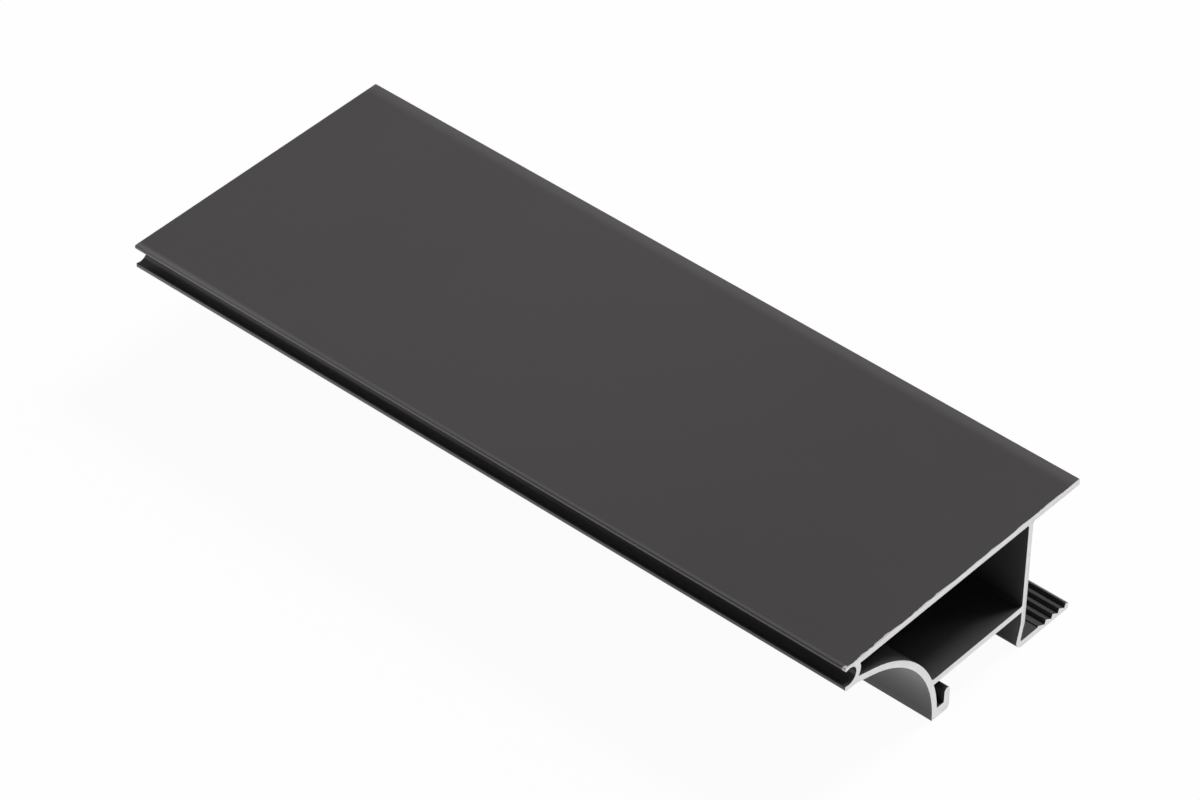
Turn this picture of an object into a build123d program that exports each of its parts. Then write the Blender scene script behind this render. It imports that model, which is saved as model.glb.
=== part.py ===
from build123d import *
import math
import os

# Handle-edge profile: one aluminium extrusion, sawn to a short sample length.
# The section lies in XZ and runs along Y. The base is z = 0, the wide plate is on top,
# the seal groove faces -X and the board slot opens to +X.

# Driving dimensions, in millimetres and degrees

# Whole piece
length = 110.7
width = 42.9
plate_thickness = 0.9

# Board slot, between the plate's overhang and the toothed flange
board_thickness = 18.0
board_clearance = 0.4
slot_depth = 8.7

# Toothed flange: ramps fall outwards, steep faces look at the web
flange_wall = 0.93
tooth_count = 5
tooth_pitch = 1.27
tooth_lift = 0.17
tooth_depth = 0.62
barb_run = 0.2
first_lead = 0.25
tip_land = 0.55

# Web and its slanted leg
web_wall = 0.78
leg_height = 3.8
leg_slant = 12.0

# Floor of the closed chamber
floor_height = 5.85
floor_wall = 0.9

# Finger arch: an arc that stands upright at its foot, then a straight run up to the lip
arch_reach = 17.1
arch_wall = 0.9
arch_slope = 16.0

# Hook at the arch's foot
foot_thickness = 1.5
hook_slot = 1.3
hook_wall = 1.0
hook_height = 3.5

# Seal groove in the front edge
lip_thickness = 0.42
groove_radius = 1.28
groove_wall = 0.8
lip_catch = 0.08
catch_run = 0.3
lower_lip_thickness = 0.7
lower_lip_setback = 0.12
lower_lip_run = 2.2

# Rounded corners of the section
edge_radius = 0.15
lip_radius = 0.2
mouth_radius = 0.1
nose_radius = 0.4
inside_radius = 0.3
throat_radius = 0.6
hook_heel_radius = 0.6
leg_heel_radius = 1.2

# How far a cut runs past the sawn ends
overrun = 1.0

# Levels, from the base up
flange_top = flange_wall
tooth_peak = flange_top + tooth_lift
tooth_valley = tooth_peak - tooth_depth
plate_under = tooth_peak + board_thickness + board_clearance
top = plate_under + plate_thickness
floor_top = floor_height + floor_wall
groove_z = top - lip_thickness - groove_radius
mouth_half = groove_radius - lip_catch
lip_under = groove_z - groove_radius - lower_lip_thickness

# Places across the section, from the middle of the width
front = -width / 2
back = width / 2
groove_x = front + catch_run + math.sqrt(groove_radius**2 - mouth_half**2)
lip_front = front + lower_lip_setback
lip_end = front + lower_lip_run
web_outer = back - slot_depth
web_inner = web_outer - web_wall

# The leg turns off the web; its two faces stay parallel
leg_run = math.tan(math.radians(leg_slant))
leg_turn_inner = leg_height + web_wall * math.tan(math.radians(leg_slant / 2))
leg_outer = web_outer - (leg_height - flange_top) * leg_run
leg_inner = web_inner - leg_turn_inner * leg_run

# The arch is upright at its foot on the base and runs out tangent to the slope through the lip's end
slope_sin = math.sin(math.radians(arch_slope))
slope_cos = math.cos(math.radians(arch_slope))
arch_span = arch_reach - lower_lip_run
arch_radius = (lip_under * slope_cos - arch_span * slope_sin) / (1 - slope_sin)
arch_x = front + arch_reach - arch_radius
arch_outer_radius = arch_radius + arch_wall
arch_turn = 90.0 - arch_slope


def arch_angle(level):
    return math.degrees(math.asin(level / arch_outer_radius))


# Tooth outline, from the innermost peak, which leads the even pitch a little, out to the flange's tip
ramp_run = tooth_pitch - barb_run
last_peak = back - tip_land
first_peak = last_peak - (tooth_count - 1) * tooth_pitch
tip_height = tooth_peak - tip_land * tooth_depth / ramp_run
lead_peak = first_peak - first_lead
peaks = [lead_peak] + [first_peak + tooth * tooth_pitch for tooth in range(1, tooth_count)]
teeth = [(lead_peak - barb_run * tooth_lift / tooth_depth, flange_top)]
for peak, next_peak in zip(peaks, peaks[1:]):
    teeth += [(peak, tooth_peak), (next_peak - barb_run, tooth_valley)]
teeth += [(last_peak, tooth_peak), (back, tip_height)]


def corners(sketch, points):
    return [sketch.vertices().sort_by_distance(point)[0] for point in points]


with BuildPart() as profile:
    with BuildSketch(Plane.XZ) as section:
        with BuildLine():
            slot_side = CenterArc(
                (arch_x, 0),
                arch_outer_radius,
                arch_angle(floor_height),
                arch_angle(foot_thickness) - arch_angle(floor_height),
            )
            hook_inner = (slot_side @ 1).X + hook_slot
            hook_outer = hook_inner + hook_wall
            hook_round = hook_wall / 2
            hook_tip = CenterArc((hook_inner + hook_round, hook_height - hook_round), hook_round, 0, 180)
            finger_side = CenterArc((arch_x, 0), arch_radius, 0, arch_turn)
            Polyline(slot_side @ 1, (hook_inner, foot_thickness), hook_tip @ 1)
            Polyline(hook_tip @ 0, (hook_outer, 0), finger_side @ 0)
            Polyline(
                finger_side @ 1,
                (lip_end, lip_under),
                (lip_front, lip_under),
                (lip_front, groove_z),
                (front, groove_z),
                (front, top),
                (back, top),
                (back, plate_under),
                (web_outer, plate_under),
                (web_outer, leg_height),
                (leg_outer, flange_top),
                *teeth,
                (back, 0),
                (leg_inner, 0),
                (web_inner, leg_turn_inner),
                (web_inner, floor_height),
                slot_side @ 0,
            )
        make_face()

        # Seal groove: a round pocket behind a slightly narrower mouth
        with Locations((groove_x, groove_z)):
            Circle(groove_radius, mode=Mode.SUBTRACT)
            Rectangle(groove_x - front, 2 * mouth_half, align=(Align.MAX, Align.CENTER), mode=Mode.SUBTRACT)

        mouth = [(front, groove_z + mouth_half), (lip_front, groove_z - mouth_half)]
        fillet(corners(section, mouth), mouth_radius)
        fillet(corners(section, [(front, top)]), lip_radius)
        fillet(corners(section, [(lip_front, lip_under)]), nose_radius)
        fillet(corners(section, [(back, top), (back, plate_under), (back, 0)]), edge_radius)
        fillet(corners(section, [(web_outer, plate_under), (leg_outer, flange_top)]), inside_radius)
        fillet(corners(section, [slot_side @ 1, (hook_inner, foot_thickness)]), edge_radius)
        fillet(corners(section, [(hook_outer, 0)]), hook_heel_radius)
        fillet(corners(section, [(leg_inner, 0)]), leg_heel_radius)
    extrude(amount=length / 2, both=True)

    # Closed chamber between the plate, the web, the floor and the arch
    with BuildSketch(Plane.XZ) as chamber:
        with BuildLine():
            chamber_side = CenterArc(
                (arch_x, 0),
                arch_outer_radius,
                arch_angle(floor_top),
                arch_turn - arch_angle(floor_top),
            )
            slope_rise = ((chamber_side @ 1).X - groove_x) * slope_sin / slope_cos
            Polyline(
                chamber_side @ 1,
                (groove_x, (chamber_side @ 1).Y + slope_rise),
                (groove_x, plate_under),
                (web_inner, plate_under),
                (web_inner, floor_top),
                chamber_side @ 0,
            )
        make_face()
        with Locations((groove_x, groove_z)):
            Circle(groove_radius + groove_wall, mode=Mode.SUBTRACT)
        fillet(corners(chamber, [(web_inner, plate_under), (web_inner, floor_top)]), inside_radius)
        fillet(corners(chamber, [chamber_side @ 0]), throat_radius)
    extrude(amount=length / 2 + overrun, both=True, mode=Mode.SUBTRACT)

profile.part.label = "profile"
os.makedirs("parts", exist_ok=True)
export_step(profile.part, "parts/profile.step")
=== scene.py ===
import bpy
import bmesh
import math
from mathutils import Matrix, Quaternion, Vector


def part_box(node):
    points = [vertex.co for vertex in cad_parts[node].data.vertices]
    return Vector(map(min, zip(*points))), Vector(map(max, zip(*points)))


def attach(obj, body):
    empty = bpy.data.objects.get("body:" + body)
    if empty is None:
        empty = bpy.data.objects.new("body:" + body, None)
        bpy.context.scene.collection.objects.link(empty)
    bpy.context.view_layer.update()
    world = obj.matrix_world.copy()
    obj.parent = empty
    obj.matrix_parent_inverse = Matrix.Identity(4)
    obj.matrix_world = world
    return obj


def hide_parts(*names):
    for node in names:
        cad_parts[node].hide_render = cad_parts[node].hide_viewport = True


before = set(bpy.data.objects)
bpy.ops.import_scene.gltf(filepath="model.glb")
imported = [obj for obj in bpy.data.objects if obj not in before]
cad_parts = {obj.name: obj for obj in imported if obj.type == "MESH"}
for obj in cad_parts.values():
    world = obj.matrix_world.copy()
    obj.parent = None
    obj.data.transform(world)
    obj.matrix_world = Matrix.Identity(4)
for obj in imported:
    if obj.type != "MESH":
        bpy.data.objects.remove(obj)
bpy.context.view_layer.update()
scene = bpy.context.scene
scene.view_settings.view_transform = "Standard"
mm = 0.001

# node helpers, shared by all the finishes


def newTree(owner):
    owner.use_nodes = True
    tree = owner.node_tree
    tree.nodes.clear()
    return tree


def addNode(tree, kind, **settings):
    made = tree.nodes.new(kind)
    for key, value in settings.items():
        setattr(made, key, value)
    return made


def feed(tree, socket, value):
    if isinstance(value, bpy.types.NodeSocket):
        tree.links.new(value, socket)
    else:
        socket.default_value = value


def calc(tree, operation, first, second=0.0, third=0.0):
    made = addNode(tree, "ShaderNodeMath", operation=operation)
    for socket, value in zip(made.inputs, (first, second, third)):
        feed(tree, socket, value)
    return made.outputs[0]


def blend(tree, first, second, shares):
    return calc(tree, "MULTIPLY_ADD", first, shares[0], calc(tree, "MULTIPLY", second, shares[1]))


def vectorCalc(tree, operation, first, second):
    made = addNode(tree, "ShaderNodeVectorMath", operation=operation)
    feed(tree, made.inputs[0], first)
    feed(tree, made.inputs[1], second)
    return made.outputs["Value" if operation == "DISTANCE" else "Vector"]


def ramp(tree, value, low, high, start=0.0, end=1.0):
    made = addNode(tree, "ShaderNodeMapRange", interpolation_type="SMOOTHSTEP")
    given = {"Value": value, "From Min": low, "From Max": high, "To Min": start, "To Max": end}
    for name, setting in given.items():
        feed(tree, made.inputs[name], setting)
    return made.outputs[0]


def noise(tree, vector, look):
    made = addNode(tree, "ShaderNodeTexNoise")
    tree.links.new(vector, made.inputs["Vector"])
    for name, value in look.items():
        made.inputs[name.capitalize()].default_value = value
    return made.outputs["Fac"]


def mixColor(tree, share, first, second):
    made = addNode(tree, "ShaderNodeMix", data_type="RGBA")
    feed(tree, made.inputs["Factor"], share)
    for name, given in (("A", first), ("B", second)):
        socket = next(s for s in made.inputs if s.name == name and s.type == "RGBA")
        feed(tree, socket, given if isinstance(given, bpy.types.NodeSocket) else (*given, 1.0))
    return next(s for s in made.outputs if s.type == "RGBA")


def objectPlace(tree):
    return addNode(tree, "ShaderNodeTexCoord").outputs["Object"]


def sectionPlace(tree, coord):
    return vectorCalc(tree, "MULTIPLY", coord, (1.0, 0.0, 1.0))


def axesOf(tree, coord):
    split = addNode(tree, "ShaderNodeSeparateXYZ")
    tree.links.new(coord, split.inputs[0])
    return list(split.outputs)


def shade(tree, color, metallic, roughness, relief, reliefDepth):
    shader = addNode(tree, "ShaderNodeBsdfPrincipled")
    feed(tree, shader.inputs["Base Color"], color)
    feed(tree, shader.inputs["Metallic"], metallic)
    feed(tree, shader.inputs["Roughness"], roughness)
    bump = addNode(tree, "ShaderNodeBump")
    bump.inputs["Strength"].default_value = 1.0
    bump.inputs["Distance"].default_value = reliefDepth
    tree.links.new(relief, bump.inputs["Height"])
    tree.links.new(bump.outputs[0], shader.inputs["Normal"])
    output = addNode(tree, "ShaderNodeOutputMaterial")
    tree.links.new(shader.outputs[0], output.inputs["Surface"])
    return shader


# bare metal where the saw broke the skin: a ragged band on top at the near end, and a chip at the lip

bareSkin = {
    "color": (0.72, 0.72, 0.73),
    "roughness": 0.55,
    "metallic": 0.35,                     # torn metal scatters more than it mirrors
    "bandWidth": (0.25 * mm, 0.10 * mm),  # at the front edge and towards the back
    "bandTaper": 0.6,                     # share of the half width where it has its back width
    "fine": {"scale": 1400.0, "detail": 3.0, "roughness": 0.6},
    "broad": {"scale": 360.0, "detail": 2.0, "roughness": 0.5},
    "fineSwing": 0.9,                     # the band's width swings with both noises
    "broadSwing": 3.6,
    "swingOffset": -1.85,
    "chipInset": 0.1 * mm,                # chipped corner of the upper lip
    "chipDrop": 0.2 * mm,
    "chipReach": 0.50 * mm,
    "chipOffset": 0.5,                    # added to the fine noise that frays the chip
}


def bareMask(tree, coord, low, high, onTop):
    x, y = axesOf(tree, coord)[:2]
    fine = noise(tree, coord, bareSkin["fine"])
    broad = noise(tree, coord, bareSkin["broad"])
    width = ramp(tree, x, low.x, high.x * bareSkin["bandTaper"], *bareSkin["bandWidth"])
    swing = calc(tree, "MULTIPLY_ADD", broad, bareSkin["broadSwing"], bareSkin["swingOffset"])
    swing = calc(tree, "MULTIPLY_ADD", fine, bareSkin["fineSwing"], swing)
    fromEnd = calc(tree, "SUBTRACT", y, low.y)
    band = calc(tree, "LESS_THAN", fromEnd, calc(tree, "MULTIPLY", width, swing))
    chipMiddle = (low.x + bareSkin["chipInset"], low.y, high.z - bareSkin["chipDrop"])
    frayed = calc(tree, "ADD", fine, bareSkin["chipOffset"])
    chipEdge = calc(tree, "MULTIPLY", frayed, bareSkin["chipReach"])
    chip = calc(tree, "LESS_THAN", vectorCalc(tree, "DISTANCE", coord, chipMiddle), chipEdge)
    return calc(tree, "MAXIMUM", calc(tree, "MULTIPLY", band, onTop), chip)


# painted highlights that make the coat paler: a painted sheen at the back edge, a painted highlight line by
# the front edge and a painted highlight on the upper lip's corner

paintedHighlights = {
    "backGain": 1.50,                    # painted sheen: the coat's colour times this at the back edge
    "backReach": 2.8 * mm,
    "lineGain": (0.5, 0.9),              # painted highlight line: extra share of the colour, up to lineFrom and at the far end
    "lineHalf": (0.34 * mm, 0.80 * mm),  # half width of the line at the same places
    "lineFrom": 18.0 * mm,
    "lineInset": 0.30 * mm,
    "cornerGain": 1.0,                   # painted highlight, low on the lip's rounded corner
    "cornerDrop": 0.18 * mm,
    "cornerReach": 0.14 * mm,
}


def paintedHighlightGain(tree, coord, low, high, onTop):
    x, y = axesOf(tree, coord)[:2]
    # painted sheen along the back edge of the top
    nearBack = calc(tree, "MULTIPLY", ramp(tree, x, high.x - paintedHighlights["backReach"], high.x), onTop)
    back = ramp(tree, nearBack, 0.0, 1.0, 1.0, paintedHighlights["backGain"])
    # painted highlight line by the front edge, wider and brighter towards the far end
    gain = ramp(tree, y, paintedHighlights["lineFrom"], high.y, *paintedHighlights["lineGain"])
    half = ramp(tree, y, paintedHighlights["lineFrom"], high.y, *paintedHighlights["lineHalf"])
    offLine = calc(tree, "ABSOLUTE", calc(tree, "SUBTRACT", x, low.x + paintedHighlights["lineInset"]))
    line = calc(tree, "MULTIPLY", ramp(tree, offLine, 0.0, half, gain, 0.0), onTop)
    # painted highlight on the upper lip's rounded corner
    cornerPlace = (low.x, 0.0, high.z - paintedHighlights["cornerDrop"])
    offCorner = vectorCalc(tree, "DISTANCE", sectionPlace(tree, coord), cornerPlace)
    corner = ramp(tree, offCorner, 0.0, paintedHighlights["cornerReach"], paintedHighlights["cornerGain"], 0.0)
    return calc(tree, "ADD", back, calc(tree, "ADD", line, corner))


# dark coat: dyed anodised skin, satin, with faint die lines along the bar

darkCoat = {
    "color": (0.0645, 0.0590, 0.0612),
    "coolColor": (0.0626, 0.0596, 0.0592),
    "coolLimits": (0.35, 0.65),       # patch values where the cool colour starts and is full
    "roughness": 0.33,
    "roughnessSwing": 0.02,
    "roughnessShares": (0.7, 0.3),    # of the die lines and of the patches
    "roughnessLimits": (0.25, 0.75),
    "ior": 1.56,
    "reliefDepth": 0.0015 * mm,
    "reliefShares": (0.75, 0.25),     # of the die lines and of the grain
    "lineStretch": 0.004,             # how slowly a die line changes along the bar
    "lines": {"scale": 2600.0, "detail": 3.0, "roughness": 0.6},    # 0.4 mm apart
    "grain": {"scale": 9000.0, "detail": 2.0, "roughness": 0.5},
    "patches": {"scale": 45.0, "detail": 2.0, "roughness": 0.5},    # soft, 2 cm across
    "topFade": (0.3 * mm, 0.1 * mm),  # depths where what is on top only starts and is full
}


def makeDarkCoat(low, high):
    material = bpy.data.materials.new("darkCoat")
    tree = newTree(material)
    coord = objectPlace(tree)
    stretched = vectorCalc(tree, "MULTIPLY", coord, (1.0, darkCoat["lineStretch"], 1.0))
    lines = noise(tree, stretched, darkCoat["lines"])
    grain = noise(tree, coord, darkCoat["grain"])
    patches = noise(tree, coord, darkCoat["patches"])
    onTop = ramp(tree, axesOf(tree, coord)[2], *(high.z - depth for depth in darkCoat["topFade"]))
    bare = bareMask(tree, coord, low, high, onTop)

    cool = ramp(tree, patches, *darkCoat["coolLimits"])
    skin = mixColor(tree, cool, darkCoat["color"], darkCoat["coolColor"])
    # painted highlights on the coat: a sheen at the back edge, a line by the front edge, the lip's rounded
    # corner
    paintedHighlightSkin = vectorCalc(tree, "MULTIPLY", skin, paintedHighlightGain(tree, coord, low, high, onTop))
    color = mixColor(tree, bare, paintedHighlightSkin, bareSkin["color"])
    satin = ramp(
        tree,
        blend(tree, lines, patches, darkCoat["roughnessShares"]),
        *darkCoat["roughnessLimits"],
        darkCoat["roughness"] - darkCoat["roughnessSwing"],
        darkCoat["roughness"] + darkCoat["roughnessSwing"],
    )
    rougher = bareSkin["roughness"] - darkCoat["roughness"]
    roughness = calc(tree, "MULTIPLY_ADD", bare, rougher, satin)
    metallic = calc(tree, "MULTIPLY", bare, bareSkin["metallic"])
    relief = blend(tree, lines, grain, darkCoat["reliefShares"])
    shader = shade(tree, color, metallic, roughness, relief, darkCoat["reliefDepth"])
    shader.inputs["IOR"].default_value = darkCoat["ior"]
    return material


# sawn end: bright bare aluminium with the shallow arcs of a saw blade

sawnEnd = {
    "color": (0.82, 0.82, 0.825),
    "dullColor": (0.71, 0.71, 0.72),
    "metallic": 1.0,
    "roughness": 0.40,
    "roughnessSwing": 0.07,
    "bladeCentre": (0.09, 0.0, -0.12),
    "markSpacing": 0.16 * mm,
    "markWander": 1.5,             # of the spacing, with the mottle
    "mottle": {"scale": 900.0, "detail": 3.0, "roughness": 0.6},
    "streakShares": (0.45, 0.55),  # of the saw marks and of the mottle
    "streakLimits": (0.2, 0.8),    # streak values that are fully dull and fully bright
    "reliefDepth": 0.006 * mm,
}


def makeSawnEnd():
    material = bpy.data.materials.new("sawnEnd")
    tree = newTree(material)
    coord = objectPlace(tree)
    spacing = sawnEnd["markSpacing"]
    mottle = noise(tree, coord, sawnEnd["mottle"])
    reach = vectorCalc(tree, "DISTANCE", sectionPlace(tree, coord), sawnEnd["bladeCentre"])
    wander = calc(tree, "MULTIPLY_ADD", mottle, spacing * sawnEnd["markWander"], reach)
    wave = calc(tree, "SINE", calc(tree, "MULTIPLY", wander, 2 * math.pi / spacing))
    marks = calc(tree, "MULTIPLY_ADD", wave, 0.5, 0.5)  # brings the wave to 0 to 1
    streaks = blend(tree, marks, mottle, sawnEnd["streakShares"])
    bright = ramp(tree, streaks, *sawnEnd["streakLimits"])
    color = mixColor(tree, bright, sawnEnd["dullColor"], sawnEnd["color"])
    roughness = ramp(
        tree,
        streaks,
        *sawnEnd["streakLimits"],
        sawnEnd["roughness"] + sawnEnd["roughnessSwing"],
        sawnEnd["roughness"] - sawnEnd["roughnessSwing"],
    )
    shade(tree, color, sawnEnd["metallic"], roughness, streaks, sawnEnd["reliefDepth"])
    return material


# the bar itself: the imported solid's own mesh, merged, with its sawn edges broken

bar = {
    "mergeDistance": 0.001 * mm,
    "flatAngle": math.radians(0.2),
    "crestLevels": (1.0 * mm, 2.0 * mm),  # tooth crests lie between these, beyond toothStart
    "toothStart": 15.0 * mm,
    "crestRound": 0.04 * mm,
    "crestSegments": 3,
    "endSquareness": 0.99,                # how far a face has to look along the bar to be a sawn end
    "endEdge": 0.035 * mm,
    "endEdgeSegments": 2,
    "sharpAngle": math.radians(24),
}


def isCrest(edge, halfLength):
    first, second = (vert.co for vert in edge.verts)
    middle = (first + second) / 2
    lengthwise = abs(first.y - second.y) > halfLength
    lowest, highest = bar["crestLevels"]
    return lengthwise and middle.x > bar["toothStart"] and lowest < middle.z < highest


def isEnd(face):
    return abs(face.normal.y) > bar["endSquareness"]


def isRim(edge):
    faces = edge.link_faces
    return len(faces) == 2 and isEnd(faces[0]) != isEnd(faces[1])


def isSharp(edge):
    return len(edge.link_faces) == 2 and edge.calc_face_angle(0.0) > bar["sharpAngle"]


def roundEdges(bm, edges, offset, segments):
    return bmesh.ops.bevel(
        bm,
        geom=edges,
        offset=offset,
        affect="EDGES",
        segments=segments,
        profile=0.5,
        material=-1,
        clamp_overlap=True,
    )


def makeBar():
    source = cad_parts["profile"]
    low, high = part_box("profile")
    bm = bmesh.new()
    bm.from_mesh(source.data)
    bmesh.ops.remove_doubles(bm, verts=bm.verts, dist=bar["mergeDistance"])
    bmesh.ops.dissolve_limit(bm, angle_limit=bar["flatAngle"], verts=bm.verts, edges=bm.edges)
    crests = [edge for edge in bm.edges if isCrest(edge, high.y)]
    roundEdges(bm, crests, bar["crestRound"], bar["crestSegments"])
    rims = [edge for edge in bm.edges if isRim(edge)]
    broken = roundEdges(bm, rims, bar["endEdge"], bar["endEdgeSegments"])
    bm.normal_update()

    materials = [makeDarkCoat(low, high), makeSawnEnd()]
    coatIndex, endIndex = range(len(materials))
    for face in bm.faces:
        face.material_index = endIndex if isEnd(face) else coatIndex
        face.smooth = True
    for face in broken["faces"]:
        face.material_index = endIndex
    for edge in bm.edges:
        edge.smooth = not isSharp(edge)
    for vert in bm.verts:  # nothing stands proud of the solid
        vert.co = Vector(min(max(c, a), b) for c, a, b in zip(vert.co, low, high))

    mesh = bpy.data.meshes.new("profileBar")
    for material in materials:
        mesh.materials.append(material)
    bm.to_mesh(mesh)
    bm.free()
    piece = bpy.data.objects.new("profileBar", mesh)
    scene.collection.objects.link(piece)
    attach(piece, "root")
    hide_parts("profile")
    print("bar:", len(mesh.polygons), "faces,", len(crests), "crests rounded,", len(rims), "rim edges broken")


makeBar()

# white floor in a dim room

studio = {
    "floorSide": 12.0,
    "floorDrop": 0.02 * mm,
    "floorColor": (0.8, 0.8, 0.8),
    "floorGlow": 0.96,         # share of plain white that the camera sees
    "floorShine": 0.92,        # and that reflections see
    "underShine": 0.25,        # less of it right under the bar: a painted shadow that reflections see
    "underMiddle": (9.5 * mm, 0.0),
    "underHalf": (12.5 * mm, 55.0 * mm),
    "worldColor": (1.0, 1.0, 1.0),
    "worldLight": 0.07,
}


def plainWhite(tree):
    path = addNode(tree, "ShaderNodeLightPath")
    direct = calc(tree, "MULTIPLY", path.outputs["Is Camera Ray"], studio["floorGlow"])
    shine = calc(tree, "MAXIMUM", path.outputs["Is Glossy Ray"], path.outputs["Is Transmission Ray"])
    # painted shadow: reflections see less plain white in a box right under the bar
    axes = axesOf(tree, objectPlace(tree))[:2]
    spans = zip(axes, studio["underMiddle"], studio["underHalf"])
    across, along = (calc(tree, "COMPARE", axis, middle, half) for axis, middle, half in spans)
    under = calc(tree, "MULTIPLY", across, along)
    level = ramp(tree, under, 0.0, 1.0, studio["floorShine"], studio["underShine"])
    return calc(tree, "MAXIMUM", direct, calc(tree, "MULTIPLY", shine, level))


def makeFloor():
    bm = bmesh.new()
    bmesh.ops.create_grid(bm, x_segments=1, y_segments=1, size=studio["floorSide"] / 2)
    bmesh.ops.translate(bm, verts=bm.verts, vec=(0.0, 0.0, -studio["floorDrop"]))
    mesh = bpy.data.meshes.new("studioFloor")
    bm.to_mesh(mesh)
    bm.free()
    floor = bpy.data.objects.new("studioFloor", mesh)
    scene.collection.objects.link(floor)
    material = bpy.data.materials.new("paleFloor")
    tree = newTree(material)
    matte = addNode(tree, "ShaderNodeBsdfDiffuse")
    matte.inputs["Color"].default_value = (*studio["floorColor"], 1.0)
    glow = addNode(tree, "ShaderNodeEmission")
    mix = addNode(tree, "ShaderNodeMixShader")
    tree.links.new(plainWhite(tree), mix.inputs[0])
    tree.links.new(matte.outputs[0], mix.inputs[1])
    tree.links.new(glow.outputs[0], mix.inputs[2])
    output = addNode(tree, "ShaderNodeOutputMaterial")
    tree.links.new(mix.outputs[0], output.inputs["Surface"])
    mesh.materials.append(material)


def makeWorld():
    world = bpy.data.worlds.new("studioWorld")
    scene.world = world
    tree = newTree(world)
    sky = addNode(tree, "ShaderNodeBackground")
    sky.inputs["Color"].default_value = (*studio["worldColor"], 1.0)
    sky.inputs["Strength"].default_value = studio["worldLight"]
    output = addNode(tree, "ShaderNodeOutputWorld")
    tree.links.new(sky.outputs[0], output.inputs["Surface"])


makeFloor()
makeWorld()
print("floor and surroundings ready")

# lamps: four square soft boxes, two of them mirrored by the bar

softBoxes = [
    {
        "name": "slotBox",   # main light, high on the slot's side
        "place": (0.72, -0.2, 1.41),
        "aim": (0.0, 0.0, 0.0),
        "side": 0.4,
        "watts": 18.4,
        "mirrored": False,
    },
    {
        "name": "slotFill",  # softer fill, lower on the same side
        "place": (1.04, -0.35, 1.17),
        "aim": (0.0, 0.0, 0.0),
        "side": 0.75,
        "watts": 6.8,
        "mirrored": False,
    },
    {
        "name": "backBox",   # dim and broad, behind: the plate mirrors it
        "place": (0.42, 0.66, 0.55),
        "aim": (0.0, 0.0, 0.02),
        "side": 0.8,
        "watts": 0.29,
        "mirrored": True,
    },
    {
        "name": "lipCard",   # dim, past the far end: the groove and the lip mirror it
        "place": (-0.285, 0.45, 0.36),
        "aim": (-0.02, 0.03, 0.018),
        "side": 0.35,
        "watts": 0.46,
        "mirrored": True,
    },
]


def aimFrom(place, aim):
    return (Vector(aim) - Vector(place)).to_track_quat("-Z", "Y")


def makeLamp(box):
    lamp = bpy.data.lights.new(box["name"], "AREA")
    lamp.shape = "SQUARE"
    lamp.size = box["side"]
    lamp.energy = box["watts"]
    holder = bpy.data.objects.new(box["name"], lamp)
    scene.collection.objects.link(holder)
    holder.location = box["place"]
    holder.rotation_mode = "QUATERNION"
    holder.rotation_quaternion = aimFrom(box["place"], box["aim"])
    holder.visible_camera = False
    holder.visible_glossy = box["mirrored"]


for box in softBoxes:
    makeLamp(box)
print("lamps:", len(softBoxes))

# camera, solved from the straight edges of the photograph

view = {
    "place": (-0.39332, -0.33371, 0.46191),
    "aim": (-0.005308, -0.005042, 0.0204),
    "roll": math.radians(1.1815),
    "lens": 172.39,
    "sensor": 36.0,
    "clip": (0.01, 20.0),
}


def makeCamera():
    data = bpy.data.cameras.new("camera")
    data.sensor_fit = "HORIZONTAL"
    data.sensor_width = view["sensor"]
    data.lens = view["lens"]
    data.clip_start, data.clip_end = view["clip"]
    camera = bpy.data.objects.new("camera", data)
    scene.collection.objects.link(camera)
    camera.location = view["place"]
    camera.rotation_mode = "QUATERNION"
    roll = Quaternion((0.0, 0.0, 1.0), view["roll"])
    camera.rotation_quaternion = aimFrom(view["place"], view["aim"]) @ roll
    scene.camera = camera


makeCamera()
print("camera ready")
